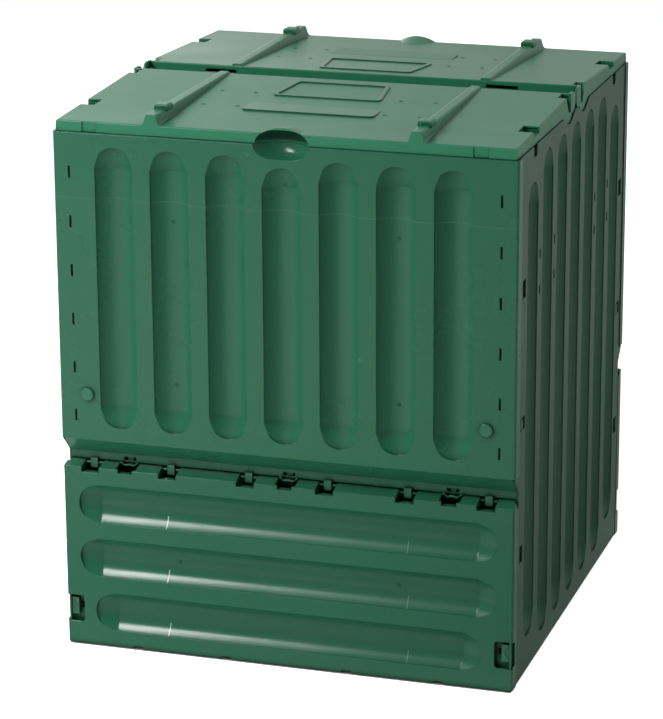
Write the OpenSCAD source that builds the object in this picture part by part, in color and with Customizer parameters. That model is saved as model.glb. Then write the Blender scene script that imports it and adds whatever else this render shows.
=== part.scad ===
// Square compost bin for the garden, moulded in panels.
// Two side panels and two upper panels lock into a box without a floor.
// A flap at the foot of the front and of the rear swings up on pins, with a latch in each lower corner.
// Two lid halves swing on pins near the ridge.
// Millimetres, Z up, the origin on the ground in the middle of the bin, the front towards minus Y.

/* [Body] */
// Outside width, left to right
bin_width = 700; // [640:5:820]
// Outside depth, front to rear
bin_depth = 720; // [660:5:840]
// Height of the top edge of the walls
wall_height = 798.2; // [740:1:900]
// Thickness of every moulded wall
wall = 3; // [2.4:0.2:3.6]
// Radius of the upright outer corners
corner_radius = 3.5; // [2:0.5:6]
// Air left between pieces that do not touch
gap = 0.3; // [0.3:0.05:0.5]

/* [Upper panels] */
// Height where the upper panel turns inward above the flap
panel_foot = 329; // [320:1:345]
// How far the hinge band stands back from the face
band_setback = 25; // [24:0.5:28]
// Height of the upper edge of the hinge band
band_top = 303.3; // [300:0.5:312]
// Height of the lower edge of the hinge band
band_bottom = 291; // [290.5:0.5:294]
// Free length of the hinge band left at each end for the side panel
band_end = 5; // [5:0.5:8]
// Length of the returns round the corners
return_length = 21.5; // [18:0.5:26]
// Number of upright flutes in each upper panel
panel_flutes = 7; // [3:2:7]
// Width of a flute in the upper panel
panel_flute_width = 58.5; // [46:0.5:62]
// Depth of a flute in the upper panel
panel_flute_depth = 16; // [8:0.5:18]
// Plain land between the outer flutes and the corner
panel_flute_margin = 64.25; // [62:0.25:80]
// Lower end of the flutes in the upper panel
panel_flute_low = 350; // [345:1:400]
// Distance from the top edge down to the flutes
panel_flute_drop = 20.2; // [16:0.2:40]
// Distance from the top edge down to the middle flute
middle_flute_drop = 33.8; // [32:0.2:60]

/* [Flute shape] */
// Slope of the ramp at the ends of a flute
flute_ramp = 21; // [15:1:28]
// Depth of the upright rim at the edge of a flute
flute_rim = 1.6; // [0.8:0.2:3]

/* [Panel joints] */
// Number of tongue slots down each side of an upper panel
slot_count = 6; // [2:1:6]
// Width of a tongue slot
slot_width = 3; // [2.6:0.2:5]
// Height of a tongue slot
slot_height = 18; // [12:1:30]
// Distance of the slots from the outer corner
slot_inset = 24.5; // [23:0.5:28]
// Height of the lowest slot
slot_low = 366.5; // [360:1:380]
// Height step from slot to slot
slot_pitch = 74.4; // [50:0.2:76]
// Length of the side panel flange behind the upper panel
flange_length = 58; // [54:1:60]
// Length of the side panel flange behind the flap
low_flange_length = 20; // [16:0.5:21]
// Distance of the studs from the outer corner
stud_inset = 44; // [42:0.5:45]
// Height of the studs
stud_height = 400.5; // [395:0.5:420]
// Radius of the stud head
stud_head_radius = 10; // [7:0.5:11]
// Height of the stud head
stud_head_height = 4; // [2:0.5:6]
// Radius of the stud shank
stud_shank_radius = 5.9; // [4:0.1:6.4]
// Length of the stud shank
stud_shank_length = 11; // [9:0.5:16]

/* [Flap hinge] */
// Distance of the hinge pins behind the face
flap_pin_depth = 22.5; // [22:0.1:23]
// Height of the hinge pins
flap_pin_height = 286; // [285.6:0.1:286.4]
// Radius of the hinge pins
flap_pin_radius = 2.2; // [1.8:0.1:2.4]
// Radial play of the pin in its ring
flap_pin_play = 0.06; // [0.04:0.01:0.1]
// Outer radius of the rings round the pins
flap_ring_radius = 4; // [3.8:0.1:4.4]
// Width of a hinge tab
hinge_tab_width = 11.5; // [8:0.5:16]
// Number of hinge tabs along the upper panel
hinge_tabs = 6; // [4:2:6]
// Distance of the outer hinge tabs from the side
hinge_tab_end = 43.75; // [41:0.25:48]
// Lower tip of the hinge tabs
hinge_tab_low = 279; // [278.6:0.2:281]
// Width of the notches for the hinge tabs
tab_notch_width = 28; // [24:0.5:34]
// Floor of the notches for the hinge tabs
tab_notch_floor = 277; // [275:0.5:278]

/* [Hinge clips] */
// Distance of the outer clips from the side
clip_end = 99.4; // [96:0.2:104]
// Width of the window above a clip
clip_window_width = 19; // [14:0.5:22]
// Height of the window above a clip
clip_window_height = 5.5; // [3:0.5:6]
// Width of a clip over its raised ends
clip_width = 29; // [26:0.5:30]
// Width of the neck of a clip
clip_neck_width = 9; // [6:0.5:12]
// Width of the notch for a clip in the flap face
clip_notch_width = 23; // [20:0.5:26]
// Floor of the notch for a clip
clip_notch_floor = 279; // [277:0.5:281]

/* [Flaps] */
// Ground clearance of the flaps
flap_bottom = 1.5; // [1:0.5:4]
// Height of the upper front edge of the flap
flap_top = 285; // [284:0.5:286]
// How far the top of the flap rises to its rear edge
flap_top_rise = 5; // [4:0.2:5]
// Depth of the top of the flap, front to rear
flap_top_depth = 24; // [23.5:0.1:24.2]
// How far the flap face ends short of the bin width at each side
flap_side_setback = 1; // [0.5:0.1:1.4]
// Width of the lying flutes
flap_flute_width = 59.5; // [50:0.5:64]
// Depth of the lying flutes
flap_flute_depth = 16; // [8:0.5:18]
// Height of the middle of the lowest flute
flap_flute_low = 56.5; // [50:0.5:60]
// Height step from flute to flute
flap_flute_pitch = 85.8; // [80:0.2:88]
// Distance of the ends of the two upper flutes from the corner
flap_flute_margin = 25; // [24:0.5:50]
// Distance of the ends of the lowest flute from the corner
low_flute_margin = 48; // [47:0.5:80]
// Width of the drain notches along the foot of the flap
foot_notch_width = 15; // [8:0.5:24]
// Height of the drain notches
foot_notch_height = 3; // [1:0.5:6]
// Distance of the inner drain notches from the middle
foot_notch_inner = 94.5; // [60:0.5:110]
// Distance of the outer drain notches from the middle
foot_notch_outer = 235.5; // [200:0.5:260]

/* [Latches] */
// Distance of the inner edge of the latch window from the corner
window_inset = 29; // [28:0.5:31]
// Lower edge of the latch window
window_low = 35.5; // [34:0.5:37]
// Height of the latch window
window_height = 42.5; // [41:0.5:44]
// Radius in the inner corners of the latch window
window_radius = 5; // [2:0.5:6]
// Width of the slider plate
latch_width = 11.4; // [9:0.2:11.6]
// Height of the slider plate
latch_height = 26.5; // [22:0.5:28]
// Distance of the outer edge of the slider from the corner
latch_inset = 7.1; // [7:0.1:8]
// Lower edge of the slider plate
latch_low = 46; // [44:0.5:47]
// Recess of the slider plate behind the face
latch_recess = 3.5; // [2:0.5:5]
// Depth of the latch pocket behind the face
pocket_depth = 11; // [10:0.5:12]
// Thickness of the rear wall of the pocket
pocket_wall = 2.5; // [2:0.1:3]
// Height of the neck of the slider
latch_neck_height = 10; // [7:0.5:12]
// Travel of the slider
latch_travel = 8; // [5:0.5:9]

/* [Side panels] */
// How far the outer face stands back from the corner returns
side_setback = 1.7; // [1.5:0.1:2.2]
// Ground clearance of the side panel between the corners
side_bottom = 5; // [2:0.5:12]
// Number of flutes in a side panel
side_flutes = 7; // [3:2:7]
// Width of a flute in the side panel
side_flute_width = 61; // [50:0.5:64]
// Depth of a flute in the side panel
side_flute_depth = 16; // [8:0.5:18]
// Distance from flute to flute
side_flute_pitch = 89.3; // [80:0.1:90]
// Lower end of the inner flutes
side_flute_low = 29.5; // [20:0.5:60]
// Lower end of the two outer flutes
outer_flute_low = 55; // [50:0.5:100]
// Distance from the top edge down to the inner flutes
side_flute_drop = 21.2; // [21:0.2:50]
// Distance from the top edge down to the outer flutes
outer_flute_drop = 52; // [40:0.5:80]
// Depth of the two dips in the top edge
dip_depth = 14.5; // [10:0.5:15]
// Width of one dip
dip_width = 92; // [92:1:110]
// Distance of the top notches from the middle
top_notch_place = 258; // [250:1:264]
// Width of the top notches at the edge
top_notch_width = 22; // [12:0.5:28]
// Depth of the top notches
top_notch_depth = 16.5; // [8:0.5:24]
// How much each side of a top notch leans inward
top_notch_lean = 2.5; // [0:0.5:5]
// Distance of the side holes from the middle
side_hole_place = 316; // [314:0.5:318]
// Width of the tall side holes
tall_hole_width = 18; // [10:0.5:20]
// Height of the tall side holes
tall_hole_height = 27; // [14:0.5:32]
// Height of the upper tall hole
upper_hole_height = 602; // [560:1:640]
// Height of the lower tall hole
lower_hole_height = 200; // [150:1:240]
// Width of the hole behind the stud
wide_hole_width = 26; // [18:0.5:28]
// Height of the hole behind the stud
wide_hole_height = 20; // [14:0.5:26]
// Width of a vent leaf
vent_width = 7; // [4:0.5:10]
// Length of a vent leaf
vent_length = 15; // [10:0.5:24]
// Corner cut off each vent
vent_corner = 2; // [1:0.25:3]
// Height of the upper row of vents
vent_high = 630; // [600:1:680]
// Height of the lower row of vents
vent_low = 576.6; // [520:1:590]

/* [Lids] */
// Height of the lid rim above the wall at the front
rim_height = 16; // [14:0.5:20]
// Rise of the lid from rim to ridge
lid_rise = 12; // [8:0.5:20]
// Half of the valley between the two lids
valley_half = 28; // [27.5:0.5:30]
// How far the rim stands back from the front of the wall
rim_setback = 2.6; // [2:0.1:4]
// How far the rim leans inward towards its top
rim_lean = 1.7; // [0.5:0.1:3]
// Bevel along the upper edge of the lid
lid_bevel = 1.3; // [0.6:0.1:2]
// Distance of the ribs from the middle
rib_place = 199; // [150:1:260]
// Width of a rib along its top
rib_width = 15.5; // [10:0.5:20]
// Height of the rib above the rim
rib_height = 15.3; // [14.8:0.1:18]
// Width of a rib at its foot
rib_foot_width = 29; // [24:0.5:36]
// Width of the knob across a rib
knob_width = 21; // [17:0.5:26]
// Length of the knob
knob_length = 22; // [14:0.5:30]
// Height of the knob above the rib
knob_height = 6.5; // [4:0.5:10]
// Distance of the knob from the rim
knob_inset = 44; // [40:0.5:60]
// Radius of the long edges of the knob
knob_round = 3.6; // [1:0.2:5]
// Radius of the end edges of the knob
knob_end_round = 2.4; // [1:0.2:4]
// Height of the raised plates
plate_height = 1.8; // [0.8:0.1:3]
// Width of the border of the framed plate
plate_border = 6; // [4:0.5:10]
// Width of the framed plate at its end near the rim
frame_plate_width = 170; // [140:1:190]
// How much the framed plate narrows towards the ridge
frame_plate_taper = 23; // [0:0.5:36]
// Distance of the framed plate from the ridge middle
frame_plate_start = 52; // [44:1:60]
// Length of the framed plate along the slope
frame_plate_length = 93.5; // [70:0.5:110]
// Corner radius of the framed plate
frame_plate_corner = 9; // [6:0.5:12]
// Width of the plain plate
bar_plate_width = 202; // [160:1:240]
// Distance of the plain plate from the ridge middle
bar_plate_start = 192; // [180:1:200]
// Length of the plain plate along the slope
bar_plate_length = 47; // [30:0.5:56]
// Corner radius of the plain plate
bar_plate_corner = 8; // [4:0.5:12]
// Width of the rim recess
rim_recess_width = 22.5; // [14:0.5:30]
// Distance of the rim recess from the middle
rim_recess_place = 293.75; // [280:0.25:300]
// Depth of the rim recess
rim_recess_depth = 1.3; // [0.6:0.1:1.6]
// Width of the notch in the side of the lid
side_notch_width = 34; // [24:1:40]
// Length of the notch into the lid
side_notch_length = 23; // [14:0.5:28]
// Distance of the side notch from the middle
side_notch_place = 245; // [238:1:250]
// Height left under the side notch
side_notch_floor = 11.3; // [9:0.1:12]
// Length of the slots in the ridge wall
ridge_slot_length = 50; // [30:1:70]
// Height of the slots in the ridge wall
ridge_slot_height = 5; // [3:0.5:8]

/* [Lid hinge] */
// Distance of the hinge line from the ridge middle
lid_pin_place = 20; // [20:0.5:21]
// Height of the hinge line above the wall
lid_pin_rise = 12.8; // [12.6:0.1:13.2]
// Radius of the hinge pins of the lid
lid_pin_radius = 4; // [3:0.1:4.4]
// Radial play of the lid pins
lid_pin_play = 0.06; // [0.04:0.01:0.1]
// Radius of the ears of the side panel
ear_radius = 7; // [6.4:0.1:7.2]
// Thickness of the ears
ear_thickness = 5; // [3:0.5:5]
// Radius of the end of the lid arm
arm_radius = 16; // [14:0.5:16]
// Distance of the slot over the hinge from the side
hinge_slot_inset = 18; // [17:0.5:22]
// End of the slot over the hinge, from the ridge middle
hinge_slot_end = 62; // [54:1:70]
// How far the lower edge of that slot stands back from its end
hinge_slot_lean = 17; // [8:1:24]

/* [Finger scoop] */
// Radius of the hollow of the scoop
scoop_radius = 21.4; // [16:0.2:22]
// Half of the opening width
scoop_half_width = 42; // [36:0.5:46]
// Thickness of the hood over the hollow
hood_wall = 2.6; // [2:0.1:3.4]
// Slope of the hood towards the rear
hood_fall = -9; // [-14:1:-5]

/* [Hidden] */
$fn = 48;
green = [0.20, 0.39, 0.30];
hw = bin_width / 2;
hd = bin_depth / 2;
tiny = 0.01;
over = 1;

// upper panel
flute_span = bin_width - 2 * panel_flute_margin - panel_flute_width;
panel_flute_pitch = flute_span / (panel_flutes - 1);
band_y = -hd + band_setback;
band_half = hw - band_end;

// flap
flap_half = hw - flap_side_setback;
pin_y = -hd + flap_pin_depth;
pin_z = flap_pin_height;
return_back = -hd + return_length;
flange_front = -hd + wall + gap;
clip_places = [clip_end - hw, 0, hw - clip_end];
hinge_tab_pitch = (bin_width - 2 * hinge_tab_end) / (hinge_tabs - 1);
tab_places = [for (i = [0:hinge_tabs - 1]) (i - (hinge_tabs - 1) / 2) * hinge_tab_pitch];

// side panel
side_face = hw - side_setback;
side_inner = side_face - wall;
land_half = hd - return_length - gap;
upper_step_out = hw - wall - gap;
lower_step_out = flap_half - wall - gap;
step_start = land_half - 4;
flange_inner = hw - flange_length;
low_flange_inner = hw - low_flange_length;
flange_low_top = 272;
flange_high_low = panel_foot + 2.5;
dip_half = dip_depth / 2;

// lid
lid_low = wall_height + gap;
rim_top = wall_height + rim_height;
lid_slope = lid_rise / (hd - rim_setback - rim_lean - valley_half);
lid_tilt = atan(lid_slope);
rim_face_low = hd - rim_setback;
rim_face_top = rim_face_low - rim_lean;
lid_peak = rim_top + lid_slope * rim_face_top;
lid_side_low = hw - rim_setback;
lid_side_top = lid_side_low - 1.8;
arm_out = hw - 3.7;
arm_in = arm_out - wall - 0.6;
ear_out = arm_in - 1;
ear_in = ear_out - ear_thickness;
lid_pin_z = wall_height + lid_pin_rise;
rib_top = rim_top + rib_height;
scoop_major = (scoop_half_width * scoop_half_width - scoop_radius * scoop_radius) / (2 * scoop_radius);
scoop_z = wall_height + gap / 2;
scoop_y = -hd + 1 - scoop_major;

function lid_top(y) = lid_peak - lid_slope * abs(y);
function dip(y) = abs(y) < dip_width ? dip_half * (1 - cos(360 * y / dip_width)) : 0;
function side_top(y) = wall_height - dip(y);
function unit(v) = v / norm(v);
function face_y(z) = -rim_face_low + rim_lean * (z - lid_low) / (rim_top - lid_bevel - lid_low);
function arc_radius(width, depth) = (width * width / 4 + depth * depth) / (2 * depth);

// points of one rounded corner at b, between the edges to a and to c
function corner(a, b, c, r, n = 4) =
    let (
        u = unit(a - b),
        v = unit(c - b),
        half = acos(u * v) / 2,
        mid = b + unit(u + v) * r / sin(half),
        p = b + u * r / tan(half) - mid,
        q = b + v * r / tan(half) - mid,
        start = atan2(p[1], p[0]),
        raw = atan2(q[1], q[0]) - start,
        turn = raw > 180 ? raw - 360 : (raw < -180 ? raw + 360 : raw)
    )
    [for (i = [0:n]) mid + r * [cos(start + turn * i / n), sin(start + turn * i / n)]];

function rounded(pts, r, n = 4) =
    let (k = len(pts))
    [for (i = [0:k - 1]) each corner(pts[(i + k - 1) % k], pts[i], pts[(i + 1) % k], r, n)];

// Piece to show

// a flat outline given in Y and Z, drawn out along X
module along_x(length) {
    rotate([90, 0, 90]) linear_extrude(length, center = true) children();
}

// a flat outline given in X and Z, drawn out along Y
module along_y(length) {
    rotate([90, 0, 0]) linear_extrude(length, center = true) children();
}

module rear() {
    mirror([0, 1, 0]) children();
}

module left() {
    mirror([1, 0, 0]) children();
}

module both_x() {
    children();
    mirror([1, 0, 0]) children();
}

module both_y() {
    children();
    mirror([0, 1, 0]) children();
}

// flutes: upright, the face at y = 0, the hollow towards plus Y

module flute_cut(width, depth, length) {
    r = arc_radius(width, depth - flute_rim);
    axis = depth - r;
    run = (length - width) / 2;
    turn = run - 1.5 - tan(flute_ramp / 2) * r;
    join = turn + tan(flute_ramp / 2) * (-over - axis) - 6;
    end = length / 2 + over;
    intersection() {
        union() {
            translate([-width / 2, -over, -run]) cube([width, depth + 2 * over, 2 * run]);
            for (s = [-1, 1]) {
                translate([0, depth + over, s * run]) rotate([90, 0, 0])
                    cylinder(r = width / 2, h = depth + 2 * over);
            }
        }
        union() {
            translate([0, axis, -join]) cylinder(r = r, h = 2 * join);
            for (s = [0, 1]) mirror([0, 0, s]) intersection() {
                translate([0, axis, join - 3]) cylinder(r = r, h = end - join + 3);
                translate([0, axis, turn]) rotate([flute_ramp, 0, 0]) cylinder(r = r, h = 6 * width, center = true);
            }
        }
    }
}

module flute_back(width, depth, length) {
    r = arc_radius(width, depth - flute_rim);
    intersection() {
        translate([0, depth - r, -length / 2 - 2]) cylinder(r = r + wall, h = length + 4);
        translate([-width, wall / 2, -length]) cube([2 * width, depth + wall, 2 * length]);
    }
}

// shared shell: a face with a return round each corner

module wrap_outline(half, face, back) {
    r = corner_radius;
    difference() {
        union() {
            translate([-half, face + r]) square([2 * half, back - face - r]);
            translate([-half + r, face]) square([2 * half - 2 * r, r + tiny]);
            for (s = [-1, 1]) translate([s * (half - r), face + r]) circle(r = r);
        }
        translate([-half + wall, face + wall]) square([2 * half - 2 * wall, back - face]);
    }
}

module scoop_ring(r) {
    translate([0, scoop_y, scoop_z]) rotate_extrude($fn = 72) translate([scoop_major, 0]) circle(r = r);
}

// upper panels

module panel_flute_places(back) {
    for (i = [0:panel_flutes - 1]) {
        place = (i - (panel_flutes - 1) / 2) * panel_flute_pitch;
        drop = place == 0 ? middle_flute_drop : panel_flute_drop;
        span = wall_height - drop - panel_flute_low;
        translate([place, -hd, panel_flute_low + span / 2]) {
            if (back) flute_back(panel_flute_width, panel_flute_depth, span);
            if (!back) flute_cut(panel_flute_width, panel_flute_depth, span);
        }
    }
}

module hinge_tab() {
    difference() {
        along_x(hinge_tab_width) union() {
            translate([pin_y, pin_z]) circle(r = flap_ring_radius);
            translate([pin_y - flap_ring_radius, pin_z]) square([band_y + wall - pin_y + flap_ring_radius, 8]);
            translate([pin_y - flap_ring_radius, hinge_tab_low]) square([1.5, pin_z - hinge_tab_low + tiny]);
        }
        translate([0, pin_y, pin_z]) rotate([0, 90, 0])
            cylinder(r = flap_pin_radius + flap_pin_play, h = hinge_tab_width + 2, center = true);
    }
}

module upper_panel() {
    lean = wall * 0.41;
    difference() {
        union() {
            translate([0, 0, panel_foot]) linear_extrude(wall_height - panel_foot)
                wrap_outline(hw, -hd, return_back);
            along_x(2 * band_half) polygon([
                [-hd, panel_foot], [band_y, band_top], [band_y, band_bottom],
                [band_y + wall, band_bottom], [band_y + wall, band_top + lean],
                [-hd + wall, panel_foot + lean], [-hd + wall, panel_foot + 5], [-hd, panel_foot + 5]
            ]);
            panel_flute_places(back = true);
            intersection() {
                scoop_ring(scoop_radius + wall);
                translate([-hw, -hd + wall / 2, wall_height - 40]) cube([bin_width, 60, 40]);
            }
            for (x = tab_places) translate([x, 0, 0]) hinge_tab();
        }
        panel_flute_places(back = false);
        scoop_ring(scoop_radius);
        along_x(bin_width + 2) polygon([
            [-hd - over, wall_height - 1 - over], [-hd - over, wall_height + over], [-hd + 1 + over, wall_height + over]
        ]);
        for (s = [-1, 1]) {
            for (i = [0:slot_count - 1]) {
                translate([s * (hw - slot_inset), -hd + wall / 2, slot_low + i * slot_pitch])
                    cube([slot_width, wall + 2, slot_height], center = true);
            }
            translate([s * (hw - stud_inset), -hd + wall + 1, stud_height]) rotate([90, 0, 0])
                cylinder(r = stud_shank_radius + gap, h = wall + 2);
        }
        for (x = clip_places) {
            translate([x, band_y + wall / 2, band_bottom + 2 + clip_window_height / 2])
                cube([clip_window_width, wall + 2, clip_window_height], center = true);
        }
    }
}

module front_upper_panel() {
    color(green) upper_panel();
}

module rear_upper_panel() {
    color(green) rear() upper_panel();
}

// hinge clips

module clip() {
    h = clip_width / 2;
    low = band_bottom - 4.8;
    front = pin_y - 3.5;
    color(green) union() {
        translate([0, front + 1.25, 0]) along_y(2.5) polygon([
            [-h, low + 6.6], [-h + 2.6, low + 6], [-h + 6, low + 2.2], [-h / 3, low + 2.4], [0, low + 3.6],
            [h / 3, low + 2.4], [h - 6, low + 2.2], [h - 2.6, low + 6], [h, low + 6.6],
            [h, low + 4.4], [h - 3.4, low + 3.4], [h - 6.4, low], [h / 3, low], [0, low + 1.2],
            [-h / 3, low], [-h + 6.4, low], [-h + 3.4, low + 3.4], [-h, low + 4.4]
        ]);
        translate([-clip_neck_width / 2, front + 1, low + 0.6])
            cube([clip_neck_width, band_y + wall + 2.2 - front, 2.4]);
        translate([-clip_neck_width / 2, band_y + wall + 0.2, low + 0.6])
            cube([clip_neck_width, 3, 18]);
    }
}

module front_left_clip() {
    translate([clip_places[0], 0, 0]) clip();
}

module front_middle_clip() {
    translate([clip_places[1], 0, 0]) clip();
}

module front_right_clip() {
    translate([clip_places[2], 0, 0]) clip();
}

module rear_left_clip() {
    rear() front_left_clip();
}

module rear_middle_clip() {
    rear() front_middle_clip();
}

module rear_right_clip() {
    rear() front_right_clip();
}

// studs

module stud() {
    color(green) translate([hw - stud_inset, -hd - 0.1, stud_height]) rotate([90, 0, 0]) union() {
        rotate_extrude() polygon([
            [0, 0], [stud_head_radius, 0], [stud_head_radius, stud_head_height - 1.2],
            [stud_head_radius - 1.2, stud_head_height], [0, stud_head_height]
        ]);
        translate([0, 0, -stud_shank_length]) cylinder(r = stud_shank_radius, h = stud_shank_length + 1);
    }
}

module front_right_stud() {
    stud();
}

module front_left_stud() {
    left() stud();
}

module rear_right_stud() {
    rear() stud();
}

module rear_left_stud() {
    rear() left() stud();
}

// flaps

module window_outline() {
    inner = hw - window_inset;
    r = window_radius;
    translate([inner + r, window_low]) square([window_inset, window_height]);
    translate([inner, window_low + r]) square([r + tiny, window_height - 2 * r]);
    translate([inner + r, window_low + r]) circle(r = r);
    translate([inner + r, window_low + window_height - r]) circle(r = r);
}

module latch_pocket() {
    inner = hw - window_inset - 2 * wall;
    outer = flap_half - wall - 0.5;
    low = window_low - 1.5 - wall;
    high = window_low + window_height + 1.5;
    back = -hd + pocket_depth;
    neck = latch_low + latch_height / 2;
    difference() {
        translate([inner, -hd + wall / 2, low]) cube([outer - inner, pocket_depth + pocket_wall - wall / 2, high + wall - low]);
        translate([inner + wall, -hd, low + wall]) cube([outer, pocket_depth, high - low - wall]);
        translate([hw - latch_inset - latch_width + 1.2 - latch_travel, back - 1, neck - latch_neck_height / 2 - gap])
            cube([latch_width + latch_travel, wall + 2, latch_neck_height + 2 * gap]);
    }
}

module flap_flutes(back) {
    for (i = [0:2]) {
        margin = i == 0 ? low_flute_margin : flap_flute_margin;
        span = bin_width - 2 * margin;
        translate([0, -hd, flap_flute_low + i * flap_flute_pitch]) rotate([0, 90, 0]) {
            if (back) flute_back(flap_flute_width, flap_flute_depth, span);
            if (!back) flute_cut(flap_flute_width, flap_flute_depth, span);
        }
    }
}

module flap() {
    flap_shell();
    // the corner bar in the latch window and the hinge pins
    both_x() translate([flap_half - wall - 2.8, -hd + 1.4, window_low - 1]) cube([2.9, 6, window_height + 2]);
    for (x = tab_places) {
        translate([x, pin_y, pin_z]) rotate([0, 90, 0])
            cylinder(r = flap_pin_radius, h = tab_notch_width + wall, center = true);
    }
}

module flap_shell() {
    top_back = -hd + flap_top_depth;
    top_rise = flap_top + flap_top_rise;
    difference() {
        union() {
            translate([0, 0, flap_bottom]) linear_extrude(flap_top - 0.6 - flap_bottom)
                wrap_outline(flap_half, -hd, return_back);
            along_x(2 * flap_half - 2) polygon([
                [-hd, flap_top - 4], [-hd, flap_top - 0.8], [-hd + 0.8, flap_top],
                [top_back, top_rise], [top_back, top_rise - wall], [-hd + wall, flap_top - wall - 0.4],
                [-hd + wall, flap_top - 4]
            ]);
            flap_flutes(back = true);
            for (x = tab_places) {
                for (s = [-1, 1]) {
                    translate([x + s * (tab_notch_width + wall) / 2, 0, 0]) along_x(wall) polygon([
                        [-hd + wall / 2, tab_notch_floor], [pin_y + 2.2, tab_notch_floor],
                        [pin_y + 2.2, top_rise - 1.5], [-hd + wall / 2, flap_top - 1.5]
                    ]);
                }
            }
            both_x() latch_pocket();
        }
        flap_flutes(back = false);
        for (x = tab_places) {
            translate([x - tab_notch_width / 2, -hd - over, tab_notch_floor])
                cube([tab_notch_width, flap_top_depth + 4, 20]);
        }
        for (x = clip_places) {
            translate([x - clip_notch_width / 2, -hd - over, clip_notch_floor])
                cube([clip_notch_width, flap_top_depth + 4, 20]);
            translate([x - clip_width / 2 - 1, -hd + wall + 0.4, clip_notch_floor])
                cube([clip_width + 2, flap_top_depth, 20]);
        }
        both_x() {
            translate([0, -hd, 0]) along_y(2 * (wall + 0.2)) window_outline();
            translate([flap_half - wall - 0.5, -hd - over, window_low + 2.5])
                cube([10, 14, window_height - 4.5]);
            translate([side_inner - 2 * gap, -hd + 15.5, flap_top - 6]) cube([10, 12, 14]);
        }
        for (x = [-foot_notch_outer, -foot_notch_inner, foot_notch_inner, foot_notch_outer]) {
            translate([x - foot_notch_width / 2, -hd - over, 0])
                cube([foot_notch_width, wall + 2, flap_bottom + foot_notch_height]);
        }
    }
}

module front_flap() {
    color(green) flap();
}

module rear_flap() {
    color(green) rear() flap();
}

// latches

module latch() {
    outer = hw - latch_inset;
    inner = outer - latch_width;
    face = -hd + latch_recess;
    back = -hd + pocket_depth;
    mid = latch_low + latch_height / 2;
    neck_in = inner + 1.6;
    color(green) union() {
        translate([inner, face, latch_low]) cube([latch_width, back - gap - face, latch_height]);
        translate([neck_in, back - 1, mid - latch_neck_height / 2])
            cube([latch_width - 3.2, pocket_wall + gap + 2, latch_neck_height]);
        translate([inner + 0.8, back + pocket_wall + gap, mid - latch_height / 2 + 3])
            cube([latch_width - 1.6, 3, latch_height - 6]);
        translate([0, face, 0]) along_y(1.6) polygon([
            [inner + 1.4, mid], [outer - 2.4, mid + 9.2], [outer - 1, mid + 8], [inner + 3.6, mid],
            [outer - 1, mid - 8], [outer - 2.4, mid - 9.2]
        ]);
    }
}

module front_right_latch() {
    latch();
}

module front_left_latch() {
    left() latch();
}

module rear_right_latch() {
    rear() latch();
}

module rear_left_latch() {
    rear() left() latch();
}

// side panels: drawn for the right side

module side_flute_places(back) {
    for (i = [0:side_flutes - 1]) {
        step = i - (side_flutes - 1) / 2;
        outside = i == 0 || i == side_flutes - 1;
        low = outside ? outer_flute_low : side_flute_low;
        high = wall_height - (outside ? outer_flute_drop : side_flute_drop);
        translate([side_face, step * side_flute_pitch, (low + high) / 2]) rotate([0, 0, 90]) {
            if (back) flute_back(side_flute_width, side_flute_depth, high - low);
            if (!back) flute_cut(side_flute_width, side_flute_depth, high - low);
        }
    }
}

module side_outline() {
    strip = hd - band_setback - gap;
    top = [for (y = [-dip_width:4.6:dip_width]) [y, side_top(y)]];
    polygon(concat(
        [
            [land_half, side_bottom], [land_half, flange_low_top], [strip, flange_low_top],
            [strip, band_top - gap / 2], [hd - gap, panel_foot - gap], [land_half, panel_foot - gap],
            [land_half, wall_height]
        ],
        [for (i = [len(top) - 1:-1:0]) top[i]],
        [
            [-land_half, wall_height], [-land_half, panel_foot - gap], [-hd + gap, panel_foot - gap],
            [-strip, band_top - gap / 2], [-strip, flange_low_top], [-land_half, flange_low_top],
            [-land_half, side_bottom]
        ]
    ));
}

module vent() {
    w = vent_width / 2;
    l = vent_length / 2;
    polygon([
        [w, vent_corner - l], [w, l - vent_corner], [w - vent_corner, l], [vent_corner - w, l],
        [-w, l - vent_corner], [-w, vent_corner - l], [vent_corner - w, -l], [w - vent_corner, -l]
    ]);
}

// the joint along the front edge, behind the upper panel and the flap
module side_edge() {
    upper = wall_height - 3 - flange_high_low;
    front = hd - wall - gap;
    // upper step and flange
    translate([upper_step_out - wall, -front, flange_high_low]) cube([wall, front - step_start, upper]);
    translate([flange_inner, -front, flange_high_low]) cube([upper_step_out - flange_inner, wall, upper]);
    for (i = [0:slot_count - 1]) {
        translate([hw - slot_inset, -front + wall / 2 - 1, slot_low + i * slot_pitch])
            cube([slot_width - 2 * gap, wall + 2, slot_height - 5 * gap], center = true);
    }
    // lower step and flange, down to the ground
    difference() {
        union() {
            translate([lower_step_out - wall, -front, 0]) cube([wall, front - step_start, flange_low_top]);
            translate([low_flange_inner, -front, 0]) cube([lower_step_out - low_flange_inner, wall, flange_low_top]);
            translate([lower_step_out - wall, -land_half + 1, side_bottom])
                cube([side_face - lower_step_out + wall - 0.5, 4, flange_low_top - side_bottom]);
        }
        translate([flange_inner - 1, -hd, window_low - 8])
            cube([hw, 18.2, window_height + 17]);
    }
    translate([upper_step_out - wall, -land_half + 1, flange_high_low])
        cube([side_face - upper_step_out + wall - 0.5, 4, upper]);
}

module ear() {
    base = wall_height - dip_depth - 3.6;
    difference() {
        union() {
            translate([(ear_in + ear_out) / 2, 0, 0]) along_x(ear_thickness) union() {
                translate([-lid_pin_place, lid_pin_z]) circle(r = ear_radius);
                translate([-lid_pin_place - ear_radius, base]) square([2 * ear_radius, lid_pin_z - base]);
            }
            translate([ear_in, -lid_pin_place - ear_radius, base])
                cube([side_inner + 1 - ear_in, 2 * ear_radius, 8.5]);
        }
        translate([ear_in - 1, -lid_pin_place, lid_pin_z]) rotate([0, 90, 0])
            cylinder(r = lid_pin_radius + lid_pin_play, h = ear_thickness + 2);
    }
}

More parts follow.
